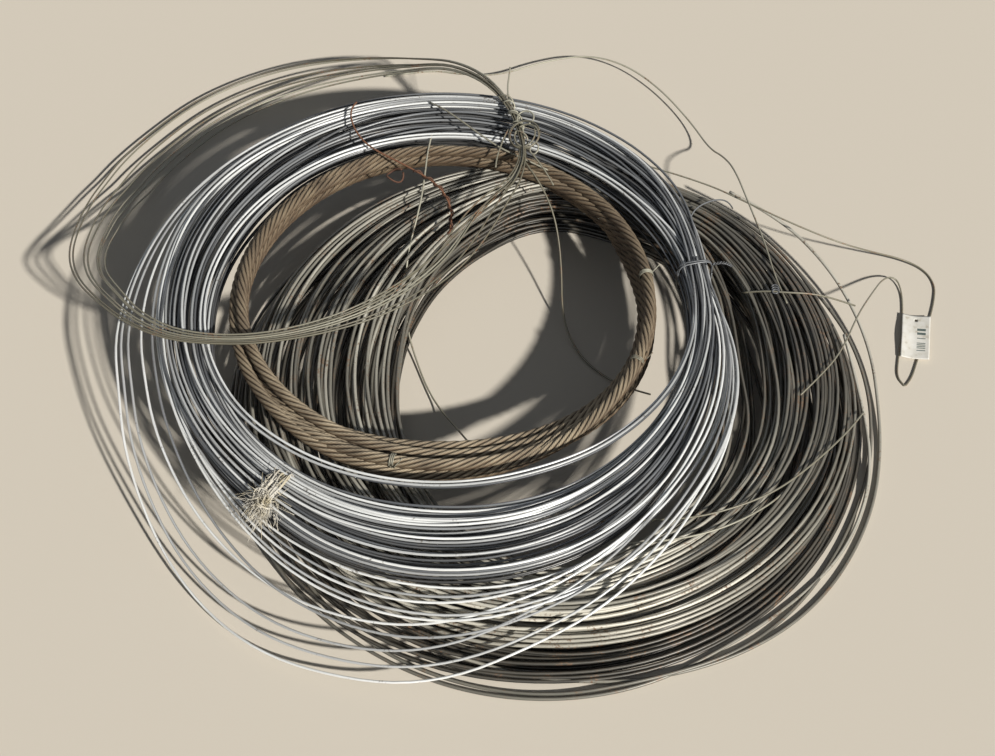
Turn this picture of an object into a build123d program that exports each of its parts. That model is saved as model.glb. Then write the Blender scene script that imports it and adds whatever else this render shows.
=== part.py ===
from build123d import *
import math
import os

# A heap of coiled steel wire: a dull coil on the floor, a bright galvanised coil and a
# coil of rusty wire rope on top of it, a hank of thin wire across them, and the loose turns.
# Millimetres, Z up. The origin is on the floor, on the axis of the bottom coil's bore.

# Wire sizes
plain_wire = 4.4
bright_wire = 3.5
thin_wire = 2.4
rope_wire = 14.0
clearance = 0.3
route_step = 15.0

# Bottom coil
base_bore_r = 192.0
base_ring = 140.0
base_height = 75.0
base_inner_slope = 44.0
base_outer_slope = 54.0
base_bore_wall = 35.0
base_outer_wall = 44.0
base_ridge = 17.0
base_lands = 3

# Bright coil, lying on the bottom coil
bright_x = -103.0
bright_y = 46.0
bright_bore_r = 245.0
bright_ring = 51.0
bright_height = 38.0
bright_ridge = 11.0

# Coil of wire rope, pushed against one side of the bright coil's bore
rope_shift_x = -2.0
rope_shift_y = 18.0
rope_lower_turns = 3
rope_pitch = 13.8

# Hank of thin wire, whose knot hangs just inside the bright coil's bore
hank_r = 240.0
hank_turns = 4
knot_bearing = 73.5
knot_inset = 3.7
hank_knot_angle = 8.0
hank_knot_gap = 0.6
knot_wraps = 3

# Ties round the bright coil
twine_thickness = 3.0
twine_width = 16.0
twine_angle = -125.0
tie_wire = 2.0
tie_angle = 12.0

# How far the loose turns and wires stand away from the coils
outer_reach = 100.0
inner_reach = 84.0
floor_reach = 9.5
free_reach = 200.0
tag_reach = 130.0

# Tag on its wire
tag_length = 60.0
tag_width = 30.0
tag_thickness = 0.8
tag_corner = 2.0
tag_hole_r = 3.0
tag_bearing = 12.9
tag_out = 75.3
tag_turn = -10.0

# Worked out from the sizes above
base_outer_r = base_bore_r + base_ring
base_crown_in = base_bore_r + base_inner_slope
base_crown_out = base_outer_r - base_outer_slope
bright_outer_r = bright_bore_r + bright_ring
bright_centre = (bright_x, bright_y)
rope_x = bright_x + rope_shift_x
rope_y = bright_y + rope_shift_y
rope_outer_r = bright_bore_r - math.hypot(rope_shift_x, rope_shift_y) - clearance
bright_bottom = base_height + clearance
bright_top = bright_bottom + bright_height
rope_bottom = base_height + clearance
rope_row_rise = rope_pitch * math.sin(math.radians(60))
groove = plain_wire / 2
bright_groove = bright_wire / 2


def ridged(start, end, ridge, depth, side):
    """Points from start to end with a groove of this depth between each two rows of turns."""
    run = math.dist(start, end)
    rows = max(1, round(run / ridge))
    along = ((end[0] - start[0]) / run, (end[1] - start[1]) / run)
    inward = (-along[1] * side, along[0] * side)
    points = [start]
    for row in range(1, rows):
        s = run * row / rows
        points.append(
            (
                start[0] + along[0] * (s - depth),
                start[1] + along[1] * (s - depth),
            )
        )
        points.append(
            (
                start[0] + along[0] * s + inward[0] * depth,
                start[1] + along[1] * s + inward[1] * depth,
            )
        )
        points.append(
            (
                start[0] + along[0] * (s + depth),
                start[1] + along[1] * (s + depth),
            )
        )
    return points


def ridged_outline(corners, ridge, depth):
    """A closed outline, clockwise, whose sides all show the rows of turns but the last."""
    points = []
    for start, end in zip(corners[:-1], corners[1:]):
        points += ridged(start, end, ridge, depth, -1)
    return points + [corners[-1]]


def at_angle(stations, angle):
    """Radius and height at an angle, eased from one station to the next."""
    for (a, r_a, z_a), (b, r_b, z_b) in zip(stations, stations[1:]):
        share = (angle - a) / (b - a)
        if share <= 1:
            break
    ease = (1 - math.cos(math.pi * share)) / 2
    return r_a + (r_b - r_a) * ease, z_a + (z_b - z_a) * ease


def round_point(centre, angle, radius, height):
    """A point from its angle, radius and height round a centre."""
    turn = math.radians(angle)
    return (centre[0] + radius * math.cos(turn), centre[1] + radius * math.sin(turn), height)


def base_surface(out):
    """Height of the bottom coil's top, this far outside its edge (inside it is negative)."""
    slope = (out + base_outer_slope) / base_outer_slope
    return base_height - max(0, slope) * (base_height - base_outer_wall)


def beside_base_route(stations, reach, wire):
    """A route from (angle, distance outside the bottom coil's edge, level) stations.

    The distance is a share of the reach. The level is how many wires above the coil's
    surface the wire lies inside the edge, and a share of the coil's height outside it."""
    points = []
    for angle, share, level in stations:
        out = share * reach
        if out < 0:
            height = base_surface(out) + clearance + wire * (level + 0.5)
        else:
            height = wire / 2 + level * base_height
        points.append(round_point((0, 0), angle, base_outer_r + out, height))
    return points


def round_route(centre, stations):
    """Corners of a route round a centre, from (angle, radius, height) stations.

    The corners stand outside the radius, so that the wire between them lies on it."""
    first, last = stations[0][0], stations[-1][0]
    steps = math.ceil(abs(last - first) / route_step)
    turn = (last - first) / steps
    stand_out = 1 / math.cos(math.radians(turn / 2))
    points = [round_point(centre, *stations[0])]
    for step in range(steps):
        angle = first + turn * (step + 0.5)
        radius, height = at_angle(stations, angle)
        points.append(round_point(centre, angle, radius * stand_out, height))
    points.append(round_point(centre, *stations[-1]))
    return points


def bend_radii(points):
    """Each corner's arc, as large as its two runs allow."""
    radii = []
    for before, corner, after in zip(points, points[1:], points[2:]):
        into = Vector(*corner) - Vector(*before)
        out = Vector(*after) - Vector(*corner)
        turn = math.radians(into.get_angle(out))
        radii.append(0.45 * min(into.length, out.length) / math.tan(turn / 2))
    return radii


def wire_tube(name, points, diameter):
    """A round wire along straight runs joined by tangent arcs."""
    radii = bend_radii(points)
    print(name, "smallest bend", round(min(radii), 1), "runs", len(points) - 1)
    with BuildPart() as tube:
        with BuildLine() as route:
            FilletPolyline(*points, radius=radii)
        with BuildSketch(Plane(origin=route.line @ 0, z_dir=route.line % 0)):
            Circle(diameter / 2)
        sweep()
    return tube.part


# Bottom coil: one turned solid with its bore
base_corners = [
    (base_bore_r, base_bore_wall),
    (base_crown_in, base_height),
    (base_crown_out, base_height),
    (base_outer_r, base_outer_wall),
    (base_outer_r, 0),
]
land_step = base_bore_wall / base_lands
bore_wall = [(base_bore_r, 0)]
for land in range(1, base_lands):
    level = land * land_step
    bore_wall += [
        (base_bore_r, level - groove),
        (base_bore_r + groove, level),
        (base_bore_r, level + groove),
    ]
with BuildPart() as bottom_coil:
    with BuildSketch(Plane.XZ):
        with BuildLine():
            Polyline(
                *bore_wall,
                *ridged_outline(base_corners, base_ridge, groove),
                close=True,
            )
        make_face()
    revolve(axis=Axis.Z)


# Ties round the bright coil's section, each in the groove that it has pulled into the turns
def tie_section(angle):
    """The plane across the bright coil at a tie."""
    middle_r = (bright_bore_r + bright_outer_r) / 2
    turn = math.radians(angle)
    outward = (math.cos(turn), math.sin(turn), 0)
    centre = (
        bright_x + middle_r * outward[0],
        bright_y + middle_r * outward[1],
        bright_bottom + bright_height / 2,
    )
    return Plane(origin=centre, x_dir=outward, z_dir=(-outward[1], outward[0], 0))


def section_tie(angle, thickness, width):
    """A wrap round the bright coil's section, flush with its turns."""
    with BuildPart() as wrap:
        with BuildSketch(tie_section(angle)):
            RectangleRounded(bright_ring, bright_height, thickness)
            Rectangle(
                bright_ring - 2 * thickness,
                bright_height - 2 * thickness,
                mode=Mode.SUBTRACT,
            )
        extrude(amount=width / 2, both=True)
    return wrap.part


def tie_groove(angle, thickness, width):
    """What a tie takes away from the bright coil, a clearance wider and deeper than the tie."""
    depth = thickness + clearance
    with BuildPart() as groove_round:
        with BuildSketch(tie_section(angle)):
            Rectangle(bright_ring + 2 * depth, bright_height + 2 * depth)
            Rectangle(
                bright_ring - 2 * depth,
                bright_height - 2 * depth,
                mode=Mode.SUBTRACT,
            )
        extrude(amount=width / 2 + clearance, both=True)
    return groove_round.part


# Bright coil: one turned solid on the bottom coil
bright_corners = [
    (bright_bore_r, bright_bottom),
    (bright_bore_r, bright_top),
    (bright_outer_r, bright_top),
    (bright_outer_r, bright_bottom),
]
bright_plane = Plane(origin=(bright_x, bright_y, 0), x_dir=(1, 0, 0), z_dir=(0, -1, 0))
bright_axis = Axis((bright_x, bright_y, 0), (0, 0, 1))
with BuildPart() as bright_coil:
    with BuildSketch(bright_plane):
        with BuildLine():
            Polyline(
                *ridged_outline(bright_corners, bright_ridge, bright_groove),
                close=True,
            )
        make_face()
    revolve(axis=bright_axis)
    add(tie_groove(twine_angle, twine_thickness, twine_width), mode=Mode.SUBTRACT)
    add(tie_groove(tie_angle, tie_wire, tie_wire), mode=Mode.SUBTRACT)

twine_tie = section_tie(twine_angle, twine_thickness, twine_width)
wire_tie = section_tie(tie_angle, tie_wire, tie_wire)

# Coil of wire rope: the rope's own round turns, side by side and in the hollows above
rope_r = rope_wire / 2
rope_turns = []
for turn in range(rope_lower_turns):
    rope_turns.append((rope_outer_r - rope_r - turn * rope_pitch, rope_bottom + rope_r))
for turn in range(rope_lower_turns - 1):
    middle = rope_outer_r - rope_r - (turn + 0.5) * rope_pitch
    rope_turns.append((middle, rope_bottom + rope_r + rope_row_rise))
rope_plane = Plane(origin=(rope_x, rope_y, 0), x_dir=(1, 0, 0), z_dir=(0, -1, 0))
rope_axis = Axis((rope_x, rope_y, 0), (0, 0, 1))
with BuildPart() as rope_coil:
    with BuildSketch(rope_plane):
        with Locations(*rope_turns):
            Circle(rope_r)
        with BuildLine():
            Polyline(
                rope_turns[0],
                rope_turns[rope_lower_turns],
                rope_turns[-1],
                rope_turns[rope_lower_turns - 1],
                close=True,
            )
        make_face()
    revolve(axis=rope_axis)

# Hank of thin wire: turns that lie on the bright coil and droop to the floor behind it.
# Stations are angle, how far the turns fan out there, and height above the bright coil's top
# where they lie on it, or else above the floor.
hank_spacing = thin_wire + clearance
hank_rest = bright_top + clearance + thin_wire / 2
hank_floor = thin_wire / 2
knot_middle_r = hank_r - hank_spacing * (hank_turns - 1) / 2
knot_half_width = (hank_spacing * (hank_turns - 1) + thin_wire) / 2
knot_ring_r = knot_half_width + clearance + thin_wire / 2
knot_place = round_point(
    bright_centre, knot_bearing, bright_bore_r - knot_ring_r - knot_inset, hank_rest
)
hank_centre = round_point(knot_place, hank_knot_angle, -knot_middle_r, 0)
hank_stations = [
    (33, 0.1, hank_rest + 0.4 * thin_wire),
    (48, 0.4, 0.80 * bright_top),
    (63, 0.9, 0.52 * bright_top),
    (80, 1.8, 0.28 * bright_top),
    (100, 2.5, 0.12 * bright_top),
    (120, 3.0, 0.04 * bright_top),
    (140, 3.3, hank_floor),
    (160, 3.4, 0.05 * bright_top),
    (180, 3.2, 0.17 * bright_top),
    (200, 2.7, 0.38 * bright_top),
    (210, 2.2, 0.72 * bright_top),
    (219, 1.7, 0.98 * bright_top),
    (228, 1.3, hank_rest + 1.2 * thin_wire),
    (246, 0.8, hank_rest + 0.4 * thin_wire),
    (260, 0.6, hank_rest),
    (278, 0.5, hank_rest),
    (300, 0.3, hank_rest),
    (320, 0.1, hank_rest),
    (350, 0.0, hank_rest),
]
hank_wires = []
for turn in range(hank_turns):
    inset = hank_spacing * turn
    knot_r = hank_r - inset
    stations = [(hank_knot_angle + hank_knot_gap, knot_r, hank_rest)]
    for angle, fan, height in hank_stations:
        stations.append((angle, knot_r - fan * inset, height))
    stations.append((360 + hank_knot_angle - hank_knot_gap, knot_r, hank_rest))
    points = round_route(hank_centre, stations)
    hank_wires.append(wire_tube("hank turn", points, thin_wire))
wire_hank = Compound(children=hank_wires)

# Knot: the wire's end wrapped round the side-by-side turns of the hank
knot_turn = math.radians(hank_knot_angle)
along_hank = Vector(-math.sin(knot_turn), math.cos(knot_turn), 0)
knot_centre = Vector(*knot_place)
with BuildPart() as hank_knot:
    for wrap in range(knot_wraps):
        shift = hank_spacing * (wrap - (knot_wraps - 1) / 2)
        with Locations(Plane(origin=knot_centre + along_hank * shift, z_dir=along_hank)):
            Torus(knot_ring_r, thin_wire / 2)

# Loose turns of the bright coil, sprung outwards and down to the floor in front.
# Stations are angle, how far outside the wire runs as a share of its reach, and its level: 0
# on the floor, 1 at the bottom coil's top and 2 at the bright coil's top. A level up to 1 is
# measured out from the bottom coil's edge, and a higher one from the bright coil.
beside_bright = bright_outer_r + clearance + bright_wire / 2


def past_base(angle):
    """Distance from the bright coil's centre to the bottom coil's edge."""
    turn = math.radians(angle)
    toward = bright_x * math.cos(turn) + bright_y * math.sin(turn)
    offset = bright_x**2 + bright_y**2
    return math.sqrt(toward**2 - offset + base_outer_r**2) - toward


def sprung_route(stations, reach):
    """A route round the bright coil from (angle, share of the reach, level) stations."""
    placed = []
    for angle, share, level in stations:
        out = share * reach
        if level > 1:
            radius = beside_bright + out
            height = bright_bottom + (level - 1) * bright_height
        else:
            radius = past_base(angle) + out
            height = max(bright_wire / 2, level * base_height)
        placed.append((angle, radius, height))
    return round_route(bright_centre, placed)


outer_loose = [
    (0, 0, 1.5),
    (-25, 0.09, 1.3),
    (-48, 0.36, 1.18),
    (-62, 0.56, 1.16),
    (-70, -0.38, 1.0),
    (-77, -0.15, 0.87),
    (-88, 0.16, 0.59),
    (-104, 0.51, 0.16),
    (-120, 0.75, 0.04),
    (-137, 0.88, 0.11),
    (-152, 0.95, 0.47),
    (-165, 1, 0.93),
    (-180, 0.36, 1.5),
    (-200, 0.22, 1.73),
    (-220, 0.12, 1.82),
    (-245, 0.06, 1.82),
    (-270, 0.02, 1.77),
    (-300, 0, 1.68),
    (-344, 0, 1.5),
]
inner_loose = [
    (2, 0, 1.19),
    (-20, 0.06, 1.17),
    (-44, 0.262, 1.14),
    (-66, 0.571, 1.13),
    (-76, -0.429, 1.0),
    (-88, -0.048, 0.8),
    (-102, 0.345, 0.45),
    (-120, 0.655, 0.24),
    (-138, 0.833, 0.4),
    (-154, 0.929, 0.69),
    (-170, 1, 0.98),
    (-190, 0.167, 1.24),
    (-215, 0.083, 1.37),
    (-240, 0.024, 1.37),
    (-270, 0, 1.33),
    (-342, 0, 1.19),
]
outer_sprung_turn = wire_tube("outer sprung turn", sprung_route(outer_loose, outer_reach), bright_wire)
inner_sprung_turn = wire_tube("inner sprung turn", sprung_route(inner_loose, inner_reach), bright_wire)

# A loose turn of the bottom coil, on the floor round it.
# Stations are angle, how far outside the coil the wire runs as a share of its reach, and how
# many wires above the floor it runs.
beside_base = base_outer_r + clearance + plain_wire / 2
floor_loose = [
    (40, 0, 6.3),
    (20, 0.37, 4.5),
    (0, 0.68, 2.2),
    (-20, 1, 0.64),
    (-40, 0.9, 0),
    (-60, 0.79, 0.02),
    (-80, 0.68, 0),
    (-100, 0.58, 0.02),
    (-120, 0.37, 0),
    (-140, 0.26, 0.9),
    (-160, 0.26, 2.7),
    (-180, 0.26, 4),
]
floor_stations = [
    (angle, beside_base + share * floor_reach, plain_wire * (level + 0.5))
    for angle, share, level in floor_loose
]
floor_turn = wire_tube("floor turn", round_route((0, 0), floor_stations), plain_wire)

# Loose thin wire from the hank, over the floor and back onto the bottom coil
free_stations = [
    (110.4, 1.007, 0.024),
    (104.4, 0.993, 0),
    (100.2, 0.880, 0.001),
    (95.4, 0.821, 0),
    (89.1, 0.910, 0.001),
    (83.5, 0.977, 0),
    (78.3, 0.934, 0.001),
    (72.9, 0.799, 0),
    (66.8, 0.598, 0.003),
    (61.6, 0.398, 0.171),
    (57.2, 0.232, 0.624),
    (52.1, 0.064, 0.957),
    (44.1, -0.115, 7.801),
    (34.4, -0.243, 1.309),
    (24.6, -0.340, 0.083),
]
free_points = beside_base_route(free_stations, free_reach, thin_wire)
free_wire = wire_tube("free wire", free_points, thin_wire)

# Tag wire: a hairpin loop off the bottom coil and back onto it, its two strands on the floor
tag_stations = [
    (69.9, -0.096, 0.559),
    (56.8, -0.109, 3.492),
    (45.8, -0.106, 5.664),
    (36.9, 0.045, 0.784),
    (30.6, 0.316, 0.571),
    (28.1, 0.612, 0.304),
    (26.7, 0.866, 0.077),
    (24.2, 0.996, 0.005),
    (21.2, 0.995, 0),
    (18.5, 0.893, 0.001),
    (15.6, 0.768, 0),
    (12.4, 0.643, 0.001),
    (8.8, 0.521, 0),
    (5.6, 0.430, 0.001),
    (3.9, 0.353, 0),
    (5.9, 0.307, 0.001),
    (9.5, 0.371, 0),
    (14.1, 0.483, 0.001),
    (18.2, 0.596, 0),
    (21.7, 0.692, 0.003),
    (24.2, 0.717, 0.051),
    (24.3, 0.586, 0.144),
    (20.6, 0.338, 0.344),
    (14.7, 0.055, 0.624),
    (4.2, -0.232, 2.777),
    (-2.9, -0.413, 0.751),
    (-9.8, -0.603, 0),
]
tag_points = beside_base_route(tag_stations, tag_reach, thin_wire)
tag_wire = wire_tube("tag wire", tag_points, thin_wire)

# Tag: a thin rounded card with its hole, lying on the two strands
tag_bottom = thin_wire + clearance
tag_place = round_point((0, 0), tag_bearing, base_outer_r + tag_out, 0)
with BuildPart() as tag:
    with BuildSketch(Plane.XY.offset(tag_bottom)):
        with Locations(Location(tag_place, tag_turn)):
            RectangleRounded(tag_width, tag_length, tag_corner)
            with Locations((0, tag_length / 2 - 2 * tag_hole_r)):
                Circle(tag_hole_r, mode=Mode.SUBTRACT)
    extrude(amount=tag_thickness)

bottom_coil.part.label = "bottom_coil"
bright_coil.part.label = "bright_coil"
rope_coil.part.label = "rope_coil"
twine_tie.label = "twine_tie"
wire_tie.label = "wire_tie"
wire_hank.label = "wire_hank"
hank_knot.part.label = "hank_knot"
outer_sprung_turn.label = "outer_sprung_turn"
inner_sprung_turn.label = "inner_sprung_turn"
floor_turn.label = "floor_turn"
free_wire.label = "free_wire"
tag_wire.label = "tag_wire"
tag.part.label = "tag"

os.makedirs("parts", exist_ok=True)
export_step(bottom_coil.part, "parts/bottom_coil.step")
export_step(bright_coil.part, "parts/bright_coil.step")
export_step(rope_coil.part, "parts/rope_coil.step")
export_step(twine_tie, "parts/twine_tie.step")
export_step(wire_tie, "parts/wire_tie.step")
export_step(wire_hank, "parts/wire_hank.step")
export_step(hank_knot.part, "parts/hank_knot.step")
export_step(outer_sprung_turn, "parts/outer_sprung_turn.step")
export_step(inner_sprung_turn, "parts/inner_sprung_turn.step")
export_step(floor_turn, "parts/floor_turn.step")
export_step(free_wire, "parts/free_wire.step")
export_step(tag_wire, "parts/tag_wire.step")
export_step(tag.part, "parts/tag.step")
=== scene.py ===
"""Looks of a heap of coiled wire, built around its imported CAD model.

Sizes are in millimetres until a mesh is made, where MM turns them into metres.
"""

import math

import bpy
import numpy as np
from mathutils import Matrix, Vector


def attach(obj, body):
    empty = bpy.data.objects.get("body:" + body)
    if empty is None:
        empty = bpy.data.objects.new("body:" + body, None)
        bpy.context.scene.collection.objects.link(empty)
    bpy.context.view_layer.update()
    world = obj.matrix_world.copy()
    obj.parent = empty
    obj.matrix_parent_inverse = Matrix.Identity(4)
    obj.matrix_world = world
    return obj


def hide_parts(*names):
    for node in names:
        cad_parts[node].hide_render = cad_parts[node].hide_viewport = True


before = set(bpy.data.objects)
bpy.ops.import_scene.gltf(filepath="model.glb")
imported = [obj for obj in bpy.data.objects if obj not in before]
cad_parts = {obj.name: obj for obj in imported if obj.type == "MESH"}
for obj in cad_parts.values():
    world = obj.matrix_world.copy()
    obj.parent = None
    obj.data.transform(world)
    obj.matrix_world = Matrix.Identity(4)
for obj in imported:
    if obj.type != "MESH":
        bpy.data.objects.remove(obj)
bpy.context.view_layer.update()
scene = bpy.context.scene

MM = 0.001

# Wires: the gauge that sets their spacing, and the thinner line that is drawn
plain_wire = 4.4
bright_wire = 3.5
thin_wire = 2.4
plain_drawn = 3.5
bright_drawn = 2.6
thin_drawn = 2.0
rope_drawn = 12.4

# Where the coils are
bright_centre = (-103.0, 46.0)
rope_centre = (-105.0, 64.0)
hank_centre = (-270.0, 238.0)
bright_floor = 75.5

# Bottom coil: its height, its reach, the slope at its outer edge, and its bore
base_height = 75
base_reach = 332
slope_width = 54
slope_drop = 31
base_bore = 150
# its top, as radii and heights
base_profile = ([base_bore, 192, 236, 278, base_reach, base_reach + 1], [45, 56, 73, 73, 42, 0])


# Curves and random runs
def round_trip(stations):
    """Values that go smoothly round a circle through (angle, value, ...) stations."""
    rows = np.array(sorted(stations), float)
    before, after = rows[-2:].copy(), rows[:2].copy()
    before[:, 0] -= 360
    after[:, 0] += 360
    rows_around = np.vstack([before, rows, after])
    angles, values = rows_around[:, 0], rows_around[:, 1:]
    slopes = (values[2:] - values[:-2]) / (angles[2:] - angles[:-2])[:, None]

    def at(angle):
        a = (np.asarray(angle, float) - rows[0, 0]) % 360 + rows[0, 0]
        i = np.clip(np.searchsorted(angles, a, side="right") - 1, 1, len(angles) - 3)
        h = (angles[i + 1] - angles[i])[..., None]
        s = (a - angles[i])[..., None] / h
        here, there = values[i], values[i + 1]
        leaving, arriving = slopes[i - 1] * h, slopes[i] * h
        mixed = (
            here * (1 + 2 * s) * (1 - s) ** 2 + there * s * s * (3 - 2 * s)
            + leaving * s * (1 - s) ** 2 - arriving * s * s * (1 - s)
        )
        return mixed[..., 0] if mixed.shape[-1] == 1 else mixed

    return at


def through(values, where):
    """A smooth run through values, read at these places counted in values."""
    values = np.asarray(values, float)
    i = np.floor(where).astype(int)
    s = where - i
    a, b, c, d = (values[np.clip(i + k, 0, len(values) - 1)] for k in (-1, 0, 1, 2))
    return b + 0.5 * s * (c - a + s * (2 * a - 5 * b + 4 * c - d + s * (3 * (b - c) + d - a)))


def wander(rng, length, step, kinship=0.2):
    """A smooth random run of length samples from 0 to 1, with a new value every step."""
    values = np.empty(int(length / step) + 4)
    values[0] = rng.normal()
    for i in range(1, len(values)):
        values[i] = kinship * values[i - 1] + math.sqrt(1 - kinship**2) * rng.normal()
    values = 0.5 * (1 + np.array([math.erf(v / math.sqrt(2)) for v in values]))
    return np.clip(through(values, 1 + np.arange(length) / step), 0, 1)


def by_turn(values, stations, hold=2.5):
    """A value for each turn, kept through most of it, and longer for a higher hold."""
    place = (np.arange(len(values) * stations) + 0.5) / stations - 0.5
    whole = np.round(place)
    part = place - whole
    return through(values, whole + 0.5 * np.sign(part) * np.abs(2 * part) ** hold)


def wound(rng, columns, rows, mixing):
    """Column and row of each turn of a coil wound row on row, a little out of order."""
    turn = np.arange(columns * rows)
    row, step = turn // columns, turn % columns
    column = np.where(row % 2 == 0, step, columns - 1 - step)
    order = np.argsort(turn + rng.normal(0, mixing, len(turn)))
    return column[order], row[order]


def bunched(share, angles, bunches, strength, drift):
    """Places across a coil drawn together into bunches, which drift as the coil goes round."""
    phase = drift * (np.sin(np.radians(angles + 40)) + 0.5 * np.sin(np.radians(2 * angles)))
    wave = np.sin(2 * np.pi * (bunches * share + phase))
    return share + strength * wave / (2 * np.pi * bunches)


def smooth_along(values, rounds):
    """Evens out a run of values, its two ends kept."""
    for _ in range(rounds):
        values[1:-1] += 0.25 * (values[:-2] - 2 * values[1:-1] + values[2:])
    return values


def push_apart(radius, height, stations, spacing, rounds, evenness, floor_under):
    """Moves the turns of a coil off each other in each section, and keeps each turn smooth.

    radius and height run along the whole wire, spacing is the distance between turns, and
    evenness says how far a push spreads along its turn. floor_under gives the lowest height."""
    push_share, kept_share = 0.45, 0.998
    turns = len(radius) // stations
    aim_r, aim_z = radius.copy(), height.copy()
    same = np.arange(turns)
    for _ in range(rounds):
        r = radius.reshape(turns, stations).T
        z = height.reshape(turns, stations).T
        dr = r[:, :, None] - r[:, None, :]
        dz = z[:, :, None] - z[:, None, :]
        gap = np.sqrt(dr * dr + dz * dz) + 1e-6
        push = np.clip(spacing - gap, 0, None) / gap
        push[:, same, same] = 0
        radius = radius + push_share * (dr * push).sum(2).T.ravel()
        height = height + push_share * (dz * push).sum(2).T.ravel()
        radius = aim_r + smooth_along(kept_share * (radius - aim_r), evenness)
        height = aim_z + smooth_along(kept_share * (height - aim_z), evenness)
        height = np.maximum(height, floor_under(radius))
    return radius, height


def eased_turns(values, stations, width):
    """One value for each turn, eased into the next over a share of a turn."""
    run = np.repeat(np.asarray(values, float), stations)
    reach = int(stations * width)
    window = np.hanning(reach + 2)[1:-1]
    padded = np.pad(run, reach, mode="edge")
    return np.convolve(padded, window / window.sum(), mode="same")[reach:-reach]


def ring_run(centre, radius, turn, height):
    """Points round a centre at these radii, angles in radians and heights."""
    x, y = centre[0] + radius * np.cos(turn), centre[1] + radius * np.sin(turn)
    return np.stack([x, y, height], -1)


def run_length(points):
    """Length of a run up to each of its points."""
    steps = np.linalg.norm(np.diff(points, axis=0), axis=1)
    return np.concatenate([[0], np.cumsum(steps)])


# Meshes
def add_object(name, data):
    """An object of this data in the scene."""
    obj = bpy.data.objects.new(name, data)
    scene.collection.objects.link(obj)
    return obj


def mesh_object(name, vertices, faces, uvs, tones):
    """A smooth mesh object from points in millimetres, with a tone for each of them."""
    mesh = bpy.data.meshes.new(name)
    mesh.from_pydata((np.asarray(vertices) * MM).tolist(), [], faces)
    mesh.polygons.foreach_set("use_smooth", [True] * len(mesh.polygons))
    layer = mesh.uv_layers.new(name="wire")
    layer.data.foreach_set("uv", np.asarray(uvs, np.float32).ravel())
    tone = mesh.attributes.new("tone", "FLOAT", "POINT")
    tone.data.foreach_set("value", np.asarray(tones, np.float32))
    mesh.validate()
    return add_object(name, mesh)


def sections(points):
    """Side and up directions of a run, the sides level where the run isn't upright."""
    along = np.gradient(points, axis=0)
    along /= np.linalg.norm(along, axis=1)[:, None] + 1e-12
    side = np.cross(along, [0.0, 0.0, 1.0])
    steep = np.linalg.norm(side, axis=1) < 0.15
    side[steep] = np.cross(along[steep], [0.0, 1.0, 0.0])
    side /= np.linalg.norm(side, axis=1)[:, None]
    return side, np.cross(side, along)


def wires(name, runs, diameter, sides, rng, shading=None):
    """One object of round wires along runs of points, each closed at its ends.

    The last argument gives a share for each point of each run that scales its tone: from 0, painted
    shade deep in a coil, to 1, on top, and more where a wire is drawn lighter. Faces and uvs are
    added in one order: a run's sides, its first end, its last end."""
    darkest, deepest_shade = 0.28, 0.12
    vertices, faces, uvs, tones = [], [], [], []
    first = 0
    around = np.arange(sides) * 2 * np.pi / sides
    for number, points in enumerate(runs):
        points = np.asarray(points, float)
        count = len(points)
        side, up = sections(points)
        ring = (
            side[:, None, :] * np.cos(around)[None, :, None]
            + up[:, None, :] * np.sin(around)[None, :, None]
        )
        vertices.append((points[:, None, :] + ring * diameter / 2).reshape(-1, 3))
        run = run_length(points)
        tone = darkest + (1 - darkest) * wander(rng, count, 90, 0.3)
        # painted shade: a point's tone drops with its share, down to the deepest shade deep in a
        # coil
        if shading is not None:
            share = np.maximum(shading[number], 0)
            tone = np.minimum(tone * (deepest_shade + (1 - deepest_shade) * share), 1)
        tones.append(np.repeat(tone, sides))
        i, k = np.meshgrid(np.arange(count - 1), np.arange(sides), indexing="ij")
        j = (k + 1) % sides
        corner = [i * sides + k, i * sides + j, (i + 1) * sides + j, (i + 1) * sides + k]
        faces += (np.stack(corner, -1).reshape(-1, 4) + first).tolist()
        u0, u1 = k / sides, (k + 1) / sides
        v0, v1 = run[i] * MM, run[i + 1] * MM
        uvs.append(np.stack([u0, v0, u1, v0, u1, v1, u0, v1], -1).reshape(-1, 2))
        faces.append([first + n for n in reversed(range(sides))])
        faces.append([first + (count - 1) * sides + n for n in range(sides)])
        uvs.append(np.zeros((sides, 2)))
        uvs.append(np.full((sides, 2), run[-1] * MM))
        first += count * sides
    return mesh_object(name, np.vstack(vertices), faces, np.vstack(uvs), np.concatenate(tones))


# Materials
BLACK, WHITE = (0.0, 0.0, 0.0), (1.0, 1.0, 1.0)


def nodes_of(name):
    """A new material, its node tree and its shader."""
    material = bpy.data.materials.new(name)
    material.use_nodes = True
    tree = material.node_tree
    return material, tree, tree.nodes["Principled BSDF"]


def give(tree, node, inputs):
    """Sets or links a node's inputs, by name or number."""
    for key, value in inputs.items():
        if isinstance(value, bpy.types.NodeSocket):
            tree.links.new(value, node.inputs[key])
        else:
            node.inputs[key].default_value = value


def add(tree, kind, inputs=(), **settings):
    """A shader node with its settings and inputs."""
    node = tree.nodes.new(kind)
    for key, value in settings.items():
        setattr(node, key, value)
    give(tree, node, dict(inputs))
    return node


def ramp(tree, factor, stops):
    """A colour ramp with (place, colour) stops."""
    node = add(tree, "ShaderNodeValToRGB", {0: factor})
    elements = node.color_ramp.elements
    while len(elements) < len(stops):
        elements.new(0.5)
    for element, (place, colour) in zip(elements, stops):
        element.position = place
        element.color = (*colour, 1)
    return node.outputs[0]


def blend(tree, factor, a, b, blend_type="MIX"):
    """Two colours mixed by a factor."""
    a, b = (c if isinstance(c, bpy.types.NodeSocket) else (*c, 1) for c in (a, b))
    inputs = {0: factor, 6: a, 7: b}
    return add(tree, "ShaderNodeMix", inputs, data_type="RGBA", blend_type=blend_type).outputs[2]


def maths(tree, operation, *values, clamp=False):
    """The result of a maths node."""
    inputs = dict(enumerate(values))
    return add(tree, "ShaderNodeMath", inputs, operation=operation, use_clamp=clamp).outputs[0]


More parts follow.
